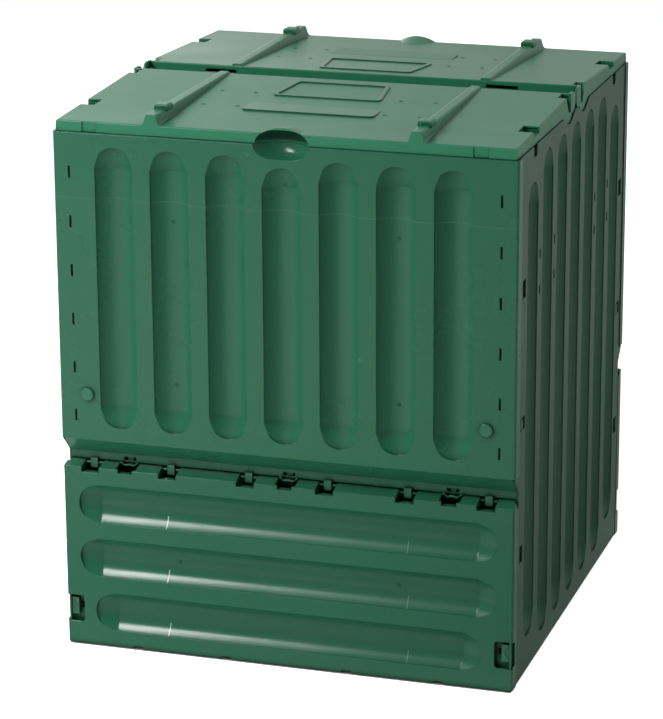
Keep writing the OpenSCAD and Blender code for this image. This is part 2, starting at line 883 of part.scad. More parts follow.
// holes, vents and the top notch of one half of the side panel
module side_openings() {
    for (z = [upper_hole_height, lower_hole_height]) {
        translate([side_hole_place, z]) square([tall_hole_width, tall_hole_height], center = true);
    }
    translate([side_hole_place, stud_height]) square([wide_hole_width, wide_hole_height], center = true);
    for (i = [1, 2]) {
        for (z = [vent_low, vent_high]) translate([(i + 0.5) * side_flute_pitch, z]) vent();
    }
    polygon([
        [top_notch_place - top_notch_width / 2, wall_height + over],
        [top_notch_place + top_notch_width / 2, wall_height + over],
        [top_notch_place + top_notch_width / 2 - top_notch_lean, wall_height - top_notch_depth],
        [top_notch_place - top_notch_width / 2 + top_notch_lean, wall_height - top_notch_depth]
    ]);
}

module side_panel() {
    difference() {
        union() {
            translate([side_inner + wall / 2, 0, 0]) along_x(wall) difference() {
                side_outline();
                side_openings();
                mirror([1, 0]) side_openings();
            }
            both_y() translate([side_inner - 1, -side_hole_place - wide_hole_width / 4, stud_height - wide_hole_height / 2 - 4])
                cube([wall, wide_hole_width / 2, wide_hole_height]);
            side_flute_places(back = true);
            both_y() side_edge();
            both_y() ear();
        }
        side_flute_places(back = false);
        both_y() {
            translate([hw - stud_inset, -hd + wall + 8, stud_height]) rotate([90, 0, 0])
                cylinder(r = stud_shank_radius + 0.1, h = 10);
        }
    }
}

module right_side_panel() {
    color(green) side_panel();
}

module left_side_panel() {
    color(green) left() side_panel();
}

// lids: drawn for the front, the local frame lies on the sloping top

module on_lid() {
    translate([0, 0, lid_peak]) rotate([lid_tilt, 0, 0]) children();
}

module lid_body() {
    edge = rim_face_top - lid_bevel;
    along_x(2 * hw) polygon([
        [-rim_face_low, lid_low], [-rim_face_top, rim_top - lid_bevel], [-edge, lid_top(edge)],
        [-valley_half - 1, lid_top(valley_half + 1)], [-valley_half, lid_top(valley_half) - 1],
        [-valley_half, lid_low]
    ]);
}

module lid_hollow() {
    along_x(2 * hw) polygon([
        [-rim_face_low + wall, lid_low - 30], [-rim_face_low + wall, lid_low],
        [-rim_face_top + wall, rim_top - wall], [-valley_half - wall, lid_top(valley_half) - wall],
        [-valley_half - wall, lid_low - 30]
    ]);
}

module side_trim(inset, top) {
    low = lid_side_low - inset;
    high = lid_side_top - inset;
    bevel = top > 0 ? 0.1 : lid_bevel;
    on_lid() along_y(2 * bin_depth) polygon([
        [-low, -60], [-high, top - bevel], [-high + bevel, top], [high - bevel, top], [high, top - bevel],
        [low, -60]
    ]);
}

module rib() {
    h = rib_height;
    t = rib_width / 2;
    f = rib_foot_width / 2;
    outline = [
        [-f - 1, -h - 6], [-f - 1, -h], [-f, -h], [-f + 2.2, -h + 1.1], [-f + 3.6, -h + 3.2], [-f + 4.2, -h + 5.5],
        [-t - 0.4, -2], [-t + 0.8, -0.4], [-t + 2, 0],
        [t - 2, 0], [t - 0.8, -0.4], [t + 0.4, -2],
        [f - 4.2, -h + 5.5], [f - 3.6, -h + 3.2], [f - 2.2, -h + 1.1], [f, -h], [f + 1, -h], [f + 1, -h - 6]
    ];
    length = rim_face_low - valley_half;
    translate([rib_place, 0, rib_top]) intersection() {
        translate([0, -valley_half - 1 - length / 2, 0]) along_y(length) polygon(outline);
        along_x(60) polygon([
            [-rim_face_low, lid_low - rib_top], [face_y(rib_top + 1), 1], [-valley_half, 1],
            [-valley_half - 1, lid_top(valley_half) - rib_top - 2],
            [-rim_face_top + 3, rim_top - rib_top - 2], [-rim_face_top + 2, lid_low - rib_top]
        ]);
    }
    knob_y = -rim_face_top + knob_inset + knob_length / 2;
    translate([rib_place, knob_y, rib_top]) intersection() {
        along_y(knob_length) polygon(rounded([
            [-knob_width / 2, -4], [-knob_width / 2, knob_height],
            [knob_width / 2, knob_height], [knob_width / 2, -4]
        ], knob_round));
        along_x(knob_width) polygon(rounded([
            [-knob_length / 2, -5], [-knob_length / 2, knob_height],
            [knob_length / 2, knob_height], [knob_length / 2, -5]
        ], knob_end_round));
    }
}

module frame_plate() {
    wide = frame_plate_width / 2;
    narrow = wide - frame_plate_taper / 2;
    near = -frame_plate_start;
    far = near - frame_plate_length;
    b = plate_border;
    outer = [[-narrow, near], [narrow, near], [wide, far], [-wide, far]];
    inner = [[-narrow + b, near - b], [narrow - b, near - b], [wide - b - 1, far + b], [-wide + b + 1, far + b]];
    on_lid() translate([0, 0, -1]) linear_extrude(plate_height + 1) difference() {
        polygon(rounded(outer, frame_plate_corner));
        polygon(rounded(inner, frame_plate_corner - 4));
    }
}

module bar_plate() {
    half = bar_plate_width / 2;
    near = -bar_plate_start;
    far = near - bar_plate_length;
    on_lid() intersection() {
        translate([0, 0, -1]) linear_extrude(10) polygon(rounded([
            [-half, near], [half, near], [half, far], [-half, far]
        ], bar_plate_corner));
        along_x(2 * half + 2) polygon([
            [near + 1, -1], [near + 1, 0.1], [far + 1, plate_height + 0.4], [far - 1, plate_height + 0.4], [far - 1, -1]
        ]);
    }
}

module dip_skirt() {
    reach = dip_width;
    steps = [for (y = [-reach:4:-lid_pin_place - 10]) y];
    low = [for (y = steps) [y, min(lid_low + 0.6, side_top(y) + 1.2)]];
    last = low[len(low) - 1];
    translate([arm_out - (arm_out - arm_in) / 2, 0, 0]) along_x(arm_out - arm_in) union() {
        polygon(concat(low, [[last[0], lid_low + 0.6], [-reach, lid_low + 3]]));
        translate([-lid_pin_place, lid_pin_z]) circle(r = arm_radius);
        translate([-valley_half - 5, lid_pin_z - arm_radius + 1])
            square([valley_half + 5 - lid_pin_place, 2 * arm_radius - 1.4]);
        translate([-valley_half - 5, lid_low - 8]) square([6, 10]);
    }
}

// the raised hood over the finger scoop and the wall round the hollow below it
module hood() {
    half = scoop_half_width + 3.4;
    high = scoop_radius + hood_wall;
    r = arc_radius(2 * half, high);
    intersection() {
        translate([0, -rim_face_low, scoop_z + high - r]) rotate([hood_fall, 0, 0]) translate([0, 20, 0])
            rotate([90, 0, 0]) cylinder(r = r, h = 160, center = true);
        along_x(2 * half - 4) polygon([
            [face_y(rim_top - 3), rim_top - 3], [face_y(rim_top + 12), rim_top + 12],
            [-rim_face_top + 70, rim_top + 12], [-rim_face_top + 70, rim_top - 0.5], [-rim_face_top + 8, rim_top - 2.5]
        ]);
    }
    intersection() {
        translate([0, scoop_y, lid_low]) cylinder(r = scoop_major + scoop_radius + hood_wall, h = rim_height - 2, $fn = 72);
        translate([-hw, -rim_face_low + wall / 2, 0]) cube([bin_width, 60, 2 * wall_height]);
    }
}

module lid() {
    slot_in = hw - hinge_slot_inset;
    difference() {
        union() {
            difference() {
                intersection() {
                    lid_body();
                    side_trim(0, 0);
                }
                intersection() {
                    lid_hollow();
                    side_trim(wall, 5);
                }
            }
            both_x() rib();
            frame_plate();
            bar_plate();
            hood();
            // gutter floor between the lids
            translate([-slot_in + 1, -valley_half - 1, lid_low + 2])
                cube([2 * slot_in - 2, valley_half - 0.2, wall]);
            both_x() {
                dip_skirt();
                // wall beside the hinge slot
                intersection() {
                    translate([slot_in - wall, -hinge_slot_end - 8, lid_low])
                        cube([wall, hinge_slot_end + 8 - valley_half - 1, 40]);
                    translate([0, 0.4, -1.2]) lid_body();
                }
                // tray under the side notch
                translate([
                    lid_side_top - side_notch_length - wall, -side_notch_place - side_notch_width / 2 - wall,
                    wall_height + side_notch_floor - wall
                ]) cube([side_notch_length + wall, side_notch_width + 2 * wall, wall + 5]);
            }
        }
        scoop_ring(scoop_radius);
        both_x() {
            along_hinge = [
                [-hinge_slot_end, lid_peak + 2], [-valley_half - 5, lid_peak + 2], [-valley_half - 5, lid_low + 0.4],
                [hinge_slot_lean - hinge_slot_end, lid_low + 0.4]
            ];
            translate([slot_in + 15, 0, 0]) along_x(30) polygon(along_hinge);
            translate([
                lid_side_top - side_notch_length, -side_notch_place - side_notch_width / 2,
                wall_height + side_notch_floor
            ]) cube([60, side_notch_width, 40]);
            translate([rim_recess_place, 0, 0]) along_x(rim_recess_width) polygon([
                [-hd - 2, lid_low - 1], [-rim_face_low + rim_recess_depth, lid_low - 1],
                [-rim_face_top + rim_recess_depth, rim_top + 2], [-hd - 2, rim_top + 2]
            ]);
            translate([rib_place + 1 + ridge_slot_length / 2, -valley_half - wall / 2, rim_top + 3])
                cube([ridge_slot_length, wall + 2, ridge_slot_height], center = true);
        }
    }
    // hinge pins on the inside of the arms
    both_x() translate([ear_in - 0.3, -lid_pin_place, lid_pin_z]) rotate([0, 90, 0])
        cylinder(r = lid_pin_radius, h = arm_in - ear_in + 1);
}

module front_lid() {
    color(green) lid();
}

module rear_lid() {
    color(green) rear() lid();
}

left_side_panel();
right_side_panel();
front_upper_panel();
rear_upper_panel();
front_flap();
rear_flap();
front_left_latch();
front_right_latch();
rear_left_latch();
rear_right_latch();
front_lid();
rear_lid();
front_left_stud();
front_right_stud();
rear_left_stud();
rear_right_stud();
front_left_clip();
front_middle_clip();
front_right_clip();
rear_left_clip();
rear_middle_clip();
rear_right_clip();
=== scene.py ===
"""Compost bin of moulded polypropylene: finishes, small moulded pieces, light and camera.

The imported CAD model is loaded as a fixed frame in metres: X to the right, the front towards -Y,
Z up, the floor at Z = 0. The CAD nodes keep their shape and get moulded plastic finishes here.
The marks that the mould leaves on them, and the shelves in the flaps' notches, are small pieces
of their own.
"""

from __future__ import annotations

import logging
import math
from dataclasses import dataclass
from enum import Enum

import bmesh
import bpy
from mathutils import Matrix, Vector


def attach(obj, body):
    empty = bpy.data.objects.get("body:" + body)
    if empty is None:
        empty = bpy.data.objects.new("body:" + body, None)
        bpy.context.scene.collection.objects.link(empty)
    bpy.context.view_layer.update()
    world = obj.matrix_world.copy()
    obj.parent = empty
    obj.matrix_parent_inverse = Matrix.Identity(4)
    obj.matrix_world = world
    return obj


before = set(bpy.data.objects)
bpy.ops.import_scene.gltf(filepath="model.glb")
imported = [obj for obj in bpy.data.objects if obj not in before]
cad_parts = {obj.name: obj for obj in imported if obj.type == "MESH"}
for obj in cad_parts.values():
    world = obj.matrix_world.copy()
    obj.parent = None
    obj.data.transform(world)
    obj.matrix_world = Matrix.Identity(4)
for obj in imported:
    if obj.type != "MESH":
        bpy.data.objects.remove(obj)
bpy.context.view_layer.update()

LOG = logging.getLogger("compost_bin")
IMAGE_SIZE = (663, 719)
MM = 0.001
WHITE = (1.0, 1.0, 1.0, 1.0)

# The node types that come back most often.
MATH = "ShaderNodeMath"
MAP = "ShaderNodeMapRange"
MIX = "ShaderNodeMix"
SPLIT = "ShaderNodeSeparateXYZ"
NOISE = "ShaderNodeTexNoise"

# Most of a noise texture's values lie between these two.
NOISE_LOW = 0.3
NOISE_HIGH = 0.7

SEAM_AND_HIGHLIGHT_PALE = "#c8e0d2"
PAINTED_SHADE_DARK = "#06140e"


class Side(Enum):
    """Which half of the bin a mirrored piece belongs to. The value is the sign of its Y."""

    FRONT = -1
    REAR = 1

    @property
    def word(self) -> str:
        """The half's name in node names."""
        return self.name.lower()


class Hand(Enum):
    """Left or right, as seen from the front. The value is the sign of X."""

    LEFT = -1
    RIGHT = 1


def srgb(code: str) -> tuple[float, float, float, float]:
    """Turns an sRGB hex colour to the linear values that a shader takes.

    Args:
        code: six hex digits with a leading hash.

    Returns:
        Linear red, green, blue and an alpha of 1.
    """
    parts = [int(code[i : i + 2], 16) / 255 for i in (1, 3, 5)]
    linear = [p / 12.92 if p <= 0.04045 else ((p + 0.055) / 1.055) ** 2.4 for p in parts]
    return (linear[0], linear[1], linear[2], 1.0)


def add_node(
    tree: bpy.types.NodeTree, kind: str, settings: dict | None = None, links: dict | None = None
) -> bpy.types.Node:
    """Adds one node to a node tree.

    Args:
        tree: the tree that gets the node.
        kind: the node's Blender type.
        settings: attributes by name, and socket values by socket name or index.
        links: output sockets of other nodes, by this node's input name or index.

    Returns:
        The new node.
    """
    node = tree.nodes.new(kind)
    for key, value in (settings or {}).items():
        if isinstance(key, str) and hasattr(node, key):
            setattr(node, key, value)
        else:
            node.inputs[key].default_value = value
    for key, socket in (links or {}).items():
        tree.links.new(socket, node.inputs[key])
    return node


@dataclass(frozen=True)
class Seam:
    """A fine pale line where two blocks of the mould met.

    It runs at one place along X or at one height along Z, in metres. It can be kept to faces behind
    a depth and to faces that look up, and there its paleness is a painted highlight of the light it catches.
    """

    axis: str
    place: float
    half_width: float
    strength: float
    sunk_below: float = 1.0
    looks_up: float = -2.0

    def mask(self, tree: bpy.types.NodeTree, parts: bpy.types.Node) -> bpy.types.NodeSocket:
        """Builds the line's mask.

        Args:
            tree: the material's node tree.
            parts: the separated object coordinates.

        Returns:
            The seam's strength on the line, and 0 beside it, where |Y| passes `sunk_below` or where
            the normal's Z is under `looks_up`.
        """
        at_line = {"operation": "COMPARE", 1: self.place, 2: self.half_width}
        line = add_node(tree, MATH, at_line, {0: parts.outputs[self.axis]})
        face = add_node(tree, MATH, {"operation": "ABSOLUTE"}, {0: parts.outputs["Y"]})
        sunk = add_node(tree, MATH, {"operation": "LESS_THAN", 1: self.sunk_below}, {0: face.outputs[0]})
        shown = add_node(tree, MATH, {"operation": "MULTIPLY"}, {0: line.outputs[0], 1: sunk.outputs[0]})
        normal = add_node(tree, "ShaderNodeNewGeometry").outputs["Normal"]
        lean = add_node(tree, SPLIT, None, {"Vector": normal})
        up = add_node(tree, MATH, {"operation": "GREATER_THAN", 1: self.looks_up}, {0: lean.outputs["Z"]})
        level = add_node(tree, MATH, {"operation": "MULTIPLY", 1: self.strength}, {0: shown.outputs[0]})
        kept = add_node(tree, MATH, {"operation": "MULTIPLY"}, {0: level.outputs[0], 1: up.outputs[0]})
        return kept.outputs[0]


@dataclass(frozen=True)
class Hollow:
    """A deep hollow whose roof no light reaches: a ball round a point at |Y|, in metres.

    Its roof starts where the normal's Z is `roof_start`, and is at its darkest from `roof_full` on.
    """

    centre: tuple[float, float, float]
    radius: float
    depth: float
    roof_start: float = 0.1
    roof_full: float = -0.25

    def light(self, tree: bpy.types.NodeTree, parts: bpy.types.Node) -> bpy.types.NodeSocket:
        """Builds the share of light that is left in the hollow.

        Args:
            tree: the material's node tree.
            parts: the separated object coordinates.

        Returns:
            1 outside the ball and on faces that don't look down, less on the roof inside it.
        """
        side = add_node(tree, MATH, {"operation": "ABSOLUTE"}, {0: parts.outputs["Y"]})
        mirrored = add_node(
            tree,
            "ShaderNodeCombineXYZ",
            None,
            {"X": parts.outputs["X"], "Y": side.outputs[0], "Z": parts.outputs["Z"]},
        )
        reach = add_node(
            tree,
            "ShaderNodeVectorMath",
            {"operation": "DISTANCE", 1: self.centre},
            {0: mirrored.outputs["Vector"]},
        )
        inside = add_node(tree, MATH, {"operation": "LESS_THAN", 1: self.radius}, {0: reach.outputs["Value"]})
        normal = add_node(tree, "ShaderNodeNewGeometry").outputs["Normal"]
        lean = add_node(tree, SPLIT, None, {"Vector": normal})
        down = add_node(
            tree,
            MAP,
            {"From Min": self.roof_start, "From Max": self.roof_full, "To Min": 0.0, "To Max": self.depth},
            {"Value": lean.outputs["Z"]},
        )
        lost = add_node(tree, MATH, {"operation": "MULTIPLY"}, {0: inside.outputs[0], 1: down.outputs[0]})
        left = add_node(tree, MATH, {"operation": "SUBTRACT", 0: 1.0}, {1: lost.outputs[0]})
        return left.outputs[0]


@dataclass(frozen=True)
class MouldedPolypropylene:
    """Injection moulded polypropylene, mass coloured, with a satin face from the tool.

    The pigment flows a little unevenly, so the colour drifts in streaks some 400 mm across.
    Spark-eroded tool steel leaves a fine grain, and handling leaves duller patches some 200 mm
    across. Moulded edges are rounded, and the rounding catches the light. Gaps, slots and hollows
    get painted shade in their colour and gloss.
    """

    name: str
    colour: str
    pale: str
    roughness: float = 0.31
    roughness_drift: float = 0.06
    gloss: float = 0.5
    grain_mm: float = 1.6
    grain_height_mm: float = 0.016
    grain_strength: float = 0.5
    edge_radius_mm: float = 2.0
    patch_mm: float = 210.0
    streak_mm: float = 420.0
    streak_stretch: float = 0.35
    pale_share: float = 0.10
    crevice_mm: float = 10.0
    crevice_power: float = 1.3
    painted_shade_beyond: float = 1.0
    seams: tuple[Seam, ...] = ()
    hollows: tuple[Hollow, ...] = ()

    def build(self) -> bpy.types.Material:
        """Builds the node material.

        Returns:
            The material, ready for a slot.
        """
        material = bpy.data.materials.new(self.name)
        material.use_nodes = True
        tree = material.node_tree
        tree.nodes.clear()
        place = add_node(tree, "ShaderNodeTexCoord").outputs["Object"]
        parts = add_node(tree, SPLIT, None, {"Vector": place})
        lit = self.light(tree, parts)
        # Painted shade: where less light reaches, the colour goes towards a near-black green and the gloss
        # drops.
        tint = add_node(
            tree,
            MIX,
            {"data_type": "RGBA", 6: srgb(PAINTED_SHADE_DARK)},
            {0: lit, 7: self.pigment(tree, place, parts)},
        ).outputs[2]
        shine = add_node(tree, MATH, {"operation": "MULTIPLY", 1: self.gloss}, {0: lit})
        shader = add_node(
            tree,
            "ShaderNodeBsdfPrincipled",
            {"IOR": 1.49, "Metallic": 0.0},
            {
                "Base Color": tint,
                "Specular IOR Level": shine.outputs[0],
                "Roughness": self.satin(tree, place),
                "Normal": self.relief(tree, place),
            },
        )
        add_node(tree, "ShaderNodeOutputMaterial", None, {"Surface": shader.outputs["BSDF"]})
        return material

    def pigment(
        self, tree: bpy.types.NodeTree, place: bpy.types.NodeSocket, parts: bpy.types.Node
    ) -> bpy.types.NodeSocket:
        """Builds the plastic's own colour, with its seams, which are pale in part as a painted highlight.

        Args:
            tree: the material's node tree.
            place: the object coordinates.
            parts: the same, separated.

        Returns:
            The colour.
        """
        # Pigment flow: long soft streaks that run up the wall, as the melt did.
        streaks = add_node(
            tree, "ShaderNodeMapping", {"Scale": (1.0, 1.0, self.streak_stretch)}, {"Vector": place}
        )
        flow = add_node(
            tree,
            NOISE,
            {"Scale": 1 / (self.streak_mm * MM), "Detail": 3.0, "Roughness": 0.5},
            {"Vector": streaks.outputs["Vector"]},
        )
        spread = add_node(
            tree,
            MAP,
            {"From Min": NOISE_LOW, "From Max": NOISE_HIGH, "To Min": 0.0, "To Max": self.pale_share},
            {"Value": flow.outputs["Fac"]},
        )
        tint = add_node(
            tree,
            MIX,
            {"data_type": "RGBA", 6: srgb(self.colour), 7: srgb(self.pale)},
            {0: spread.outputs["Result"]},
        ).outputs[2]
        for seam in self.seams:
            tint = add_node(
                tree,
                MIX,
                {"data_type": "RGBA", 7: srgb(SEAM_AND_HIGHLIGHT_PALE)},
                {0: seam.mask(tree, parts), 6: tint},
            ).outputs[2]
        return tint

    def light(self, tree: bpy.types.NodeTree, parts: bpy.types.Node) -> bpy.types.NodeSocket:
        """Builds the share of light that reaches a point, for gaps, slots and hollows.

        Args:
            tree: the material's node tree.
            parts: the separated object coordinates.

        Returns:
            1 on an open face and less in a gap.
        """
        # Painted shade: narrow gaps are darkened by ambient occlusion, and a tongue in its slot is
        # painted dark.
        nearby = add_node(
            tree, "ShaderNodeAmbientOcclusion", {"samples": 8, "Distance": self.crevice_mm * MM}
        )
        shade = add_node(tree, MATH, {"operation": "POWER", 1: self.crevice_power}, {0: nearby.outputs["AO"]})
        depth = add_node(tree, MATH, {"operation": "ABSOLUTE"}, {0: parts.outputs["Y"]})
        proud = add_node(tree, MATH, {"operation": "LESS_THAN", 1: self.painted_shade_beyond}, {0: depth.outputs[0]})
        lit = add_node(
            tree, MATH, {"operation": "MULTIPLY"}, {0: shade.outputs[0], 1: proud.outputs[0]}
        ).outputs[0]
        for hollow in self.hollows:
            lit = add_node(
                tree, MATH, {"operation": "MULTIPLY"}, {0: lit, 1: hollow.light(tree, parts)}
            ).outputs[0]
        return lit

    def satin(self, tree: bpy.types.NodeTree, place: bpy.types.NodeSocket) -> bpy.types.NodeSocket:
        """Builds the roughness: handling leaves the satin duller in soft patches.

        Args:
            tree: the material's node tree.
            place: the object coordinates.

        Returns:
            The roughness.
        """
        patches = add_node(
            tree,
            NOISE,
            {"Scale": 1 / (self.patch_mm * MM), "Detail": 5.0, "Roughness": 0.6, "Distortion": 0.4},
            {"Vector": place},
        )
        roughness = add_node(
            tree,
            MAP,
            {
                "From Min": NOISE_LOW,
                "From Max": NOISE_HIGH,
                "To Min": self.roughness - self.roughness_drift / 2,
                "To Max": self.roughness + self.roughness_drift / 2,
            },
            {"Value": patches.outputs["Fac"]},
        )
        return roughness.outputs["Result"]

    def relief(self, tree: bpy.types.NodeTree, place: bpy.types.NodeSocket) -> bpy.types.NodeSocket:
        """Builds the normal: rounded edges under the tool's grain.

        Args:
            tree: the material's node tree.
            place: the object coordinates.

        Returns:
            The normal.
        """
        # The real grain is about 0.1 mm, drawn coarser so that it shows at all.
        grain = add_node(
            tree,
            NOISE,
            {"Scale": 1 / (self.grain_mm * MM), "Detail": 2.0, "Roughness": 0.6},
            {"Vector": place},
        )
        edge = add_node(tree, "ShaderNodeBevel", {"samples": 4, "Radius": self.edge_radius_mm * MM})
        bump = add_node(
            tree,
            "ShaderNodeBump",
            {"Strength": self.grain_strength, "Distance": self.grain_height_mm * MM},
            {"Height": grain.outputs["Fac"], "Normal": edge.outputs["Normal"]},
        )
        return bump.outputs["Normal"]


# The large walls, with the faint line of the mould's upper block.
PANEL_GREEN = MouldedPolypropylene(
    "polypropylene_panel_green",
    "#1f5a42",
    "#357055",
    roughness=0.27,
    seams=(Seam("Z", 0.700, half_width=0.0007, strength=0.03),),
)
# The flaps come from a better polished tool, whose core left two short lines in each flute.
# They are pale only where they look up and stronger on the left, as a painted highlight.
FLAP_GREEN = MouldedPolypropylene(
    "polypropylene_flap_green",
    "#1d5640",
    "#336c53",
    roughness=0.24,
    seams=tuple(
        Seam("X", place, half_width=0.0008, strength=strength, sunk_below=0.3585, looks_up=0.35)
        for place, strength in ((-0.187, 0.5), (0.187, 0.1))
    ),
)
# The side walls are duller, and their tongues get painted shade where they show in the front's slots.
SIDE_GREEN = MouldedPolypropylene(
    "polypropylene_side_green", "#23503f", "#365f50", roughness=0.42, painted_shade_beyond=0.3568
)
# The lids, with painted shade on the roof of the finger scoop.
LID_GREEN = MouldedPolypropylene(
    "polypropylene_lid_green",
    "#256f4f",
    "#3c8866",
    roughness=0.34,
    hollows=(Hollow((0.0, 0.356, 0.800), radius=0.046, depth=0.85),),
)
# Small parts have sharper edges and a finer grain.
LATCH_GREEN = MouldedPolypropylene(
    "polypropylene_latch_green", "#2b6049", "#40765e", edge_radius_mm=0.7, grain_mm=1.0
)
TRIM_GREEN = MouldedPolypropylene(
    "polypropylene_trim_green", "#27604a", "#3b745b", edge_radius_mm=0.8, grain_mm=1.0
)


@dataclass(frozen=True)
class Family:
    """CAD nodes that share a finish."""

    finish: MouldedPolypropylene
    nodes: list[str]

    def dress(self) -> bpy.types.Material:
        """Puts the family's finish on every material slot of its nodes.

        Returns:
            The finish, for the small pieces that belong to the family.
        """
        material = self.finish.build()
        for name in self.nodes:
            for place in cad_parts[name].material_slots:
                place.material = material
            LOG.info("dressed %s in %s", name, material.name)
        return material


def deselect_all() -> None:
    """Leaves nothing selected, outside edit mode."""
    if bpy.context.object and bpy.context.object.mode != "OBJECT":
        bpy.ops.object.mode_set(mode="OBJECT")
    bpy.ops.object.select_all(action="DESELECT")


def join_all(things: list[bpy.types.Object]) -> bpy.types.Object:
    """Joins objects to one.

    Args:
        things: the objects.

    Returns:
        The joined object, which is the first of them.
    """
    deselect_all()
    for thing in things:
        thing.select_set(True)
    bpy.context.view_layer.objects.active = things[0]
    bpy.ops.object.join()
    return bpy.context.object


def settle(piece: bpy.types.Object, name: str, material: bpy.types.Material, body: str) -> None:
    """Finishes a new piece: its place goes into its mesh, and it rides on a body.

    Args:
        piece: the modelled object, at its place.
        name: the piece's name.
        material: its finish.
        body: the CAD body that carries it.
    """
    smooth_below = math.radians(35)
    deselect_all()
    piece.select_set(True)
    bpy.context.view_layer.objects.active = piece
    bpy.ops.object.transform_apply(location=True, rotation=True, scale=True)
    bpy.ops.object.mode_set(mode="EDIT")
    bpy.ops.mesh.select_all(action="SELECT")
    bpy.ops.mesh.normals_make_consistent(inside=False)
    bpy.ops.object.mode_set(mode="OBJECT")
    bpy.ops.object.shade_smooth_by_angle(angle=smooth_below)
    piece.name = name
    piece.data.name = name
    piece.data.materials.clear()
    piece.data.materials.append(material)
    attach(piece, body)
    deselect_all()
    LOG.info("made %s on %s", name, body)


@dataclass(frozen=True)
class Spot:
    """A point outside a CAD node and the way to look from it to find the node's face, in metres."""

    start: tuple[float, float, float]
    towards: tuple[float, float, float]

    def on(self, node: str) -> tuple[Vector, Vector]:
        """Finds where the look meets the node.

        Args:
            node: the CAD node's name.

        Returns:
            The point on the face, and the face's outward normal.
        """
        towards = Vector(self.towards).normalized()
        hit, point, normal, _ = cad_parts[node].ray_cast(Vector(self.start), towards)
        if not hit:
            raise ValueError(f"no face of {node} from {self.start}")
        return point, normal if normal.dot(towards) < 0 else -normal


@dataclass(frozen=True)
class MouldMark:
    """Round marks that the mould leaves on a wall: a low ring with a dish and a nub in its middle.

    Lengths are in metres. The shoulder is a share of the rise, and the widths of the rim, the
    dish's slope and the nub's slope are shares of the radius.
    """

    radius: float
    rise: float = 0.0006
    dish: float = 0.0004
    nub: float = 0.0007
    shoulder: float = 0.8
    rim_width: float = 0.22
    dish_width: float = 0.36
    nub_width: float = 0.08
    sides: int = 28

    def master(self) -> bpy.types.Object:
        """Models one mark at the origin, standing on its base and facing up.

        Returns:
            The mark's object.
        """
        deselect_all()
        bpy.ops.mesh.primitive_cylinder_add(vertices=self.sides, radius=self.radius, depth=2 * self.rise)
        mark = bpy.context.object
        bpy.ops.object.mode_set(mode="EDIT")
        self.pick_top(mark)
        bpy.ops.mesh.bevel(offset=self.rise * self.shoulder, segments=2, affect="EDGES")
        self.pick_top(mark)
        bpy.ops.mesh.inset(thickness=self.radius * self.rim_width)
        bpy.ops.transform.translate(value=(0, 0, -self.dish))
        bpy.ops.mesh.inset(thickness=self.radius * self.dish_width)
        bpy.ops.transform.translate(value=(0, 0, self.nub))
        bpy.ops.mesh.inset(thickness=self.radius * self.nub_width)
        bpy.ops.object.mode_set(mode="OBJECT")
        return mark

    @staticmethod
    def pick_top(mark: bpy.types.Object) -> None:
        """Selects the largest upper face that looks up, and nothing else, in edit mode.

        Args:
            mark: the mark's object.
        """
        looks_up = 0.9
        mesh = bmesh.from_edit_mesh(mark.data)
        up = [face for face in mesh.faces if face.normal.z > looks_up]
        top = max(up, key=lambda face: face.calc_area() if face.calc_center_median().z > 0 else 0)
        for face in mesh.faces:
            face.select_set(False)
        for vert in mesh.verts:
            vert.select_set(False)
        mesh.select_mode = {"FACE"}
        top.select_set(True)
        mesh.select_flush_mode()
        bmesh.update_edit_mesh(mark.data)

    def copies(self, node: str, spots: list[Spot]) -> bpy.types.Object:
        """Copies the mark to each of its spots and joins the copies.

        Args:
            node: the CAD node that carries the marks.
            spots: where the marks are.

        Returns:
            The joined marks.
        """
        master = self.master()
        copies = []
        for spot in spots:
            point, normal = spot.on(node)
            copy = master.copy()
            copy.data = master.data.copy()
            upright = normal.to_track_quat("Z", "Y").to_matrix().to_4x4()
            copy.matrix_world = Matrix.Translation(point) @ upright
            bpy.context.scene.collection.objects.link(copy)
            copies.append(copy)
        bpy.data.objects.remove(master)
        return join_all(copies)


@dataclass(frozen=True)
class MouldMarks:
    """All the round marks: ejector pins on the lids, gates on the upper panels and the flaps.

    Places are distances from the middle in metres, and a look starts outside the bin.
    """

    lid_places: tuple[float, float] = (0.113, 0.166)
    lid_rows: tuple[float, float] = (0.134, 0.219)
    gate_place: float = 0.171
    gate_heights: tuple[float, float] = (0.422, 0.670)
    top_gate_place: float = 0.002
    top_gate_height: float = 0.7376
    flap_gate_height: float = 0.1425
    above: float = 1.0
    outside: float = 0.5
    pin: MouldMark = MouldMark(0.0032, rise=0.0003, dish=0.0009, nub=0.0001)
    gate: MouldMark = MouldMark(0.0028)

    def build(self, lid: bpy.types.Material, panel: bpy.types.Material, flap: bpy.types.Material) -> None:
        """Makes the marks of both halves.

        Args:
            lid: the lids' finish.
            panel: the upper panels' finish.
            flap: the flaps' finish.
        """
        for side in Side:
            word = side.word
            start = side.value * self.outside
            inward = (0, -side.value, 0)
            pins = [
                Spot((hand.value * x, side.value * y, self.above), (0, 0, -1))
                for hand in Hand
                for x in self.lid_places
                for y in self.lid_rows
            ]
            marks = self.pin.copies(f"{word}_lid", pins)
            settle(marks, f"{word}_lid_pin_marks", lid, f"{word}_lid_body")
            gates = [
                Spot((hand.value * self.gate_place, start, z), inward)
                for hand in Hand
                for z in self.gate_heights
            ]
            gates.append(Spot((self.top_gate_place, start, self.top_gate_height), inward))
            marks = self.gate.copies(f"{word}_upper_panel", gates)
            settle(marks, f"{word}_panel_gate_marks", panel, "bin_walls")
            gates = [
                Spot((hand.value * self.gate_place, start, self.flap_gate_height), inward) for hand in Hand
            ]
            marks = self.gate.copies(f"{word}_flap", gates)
            settle(marks, f"{word}_flap_gate_marks", flap, f"{word}_flap_body")


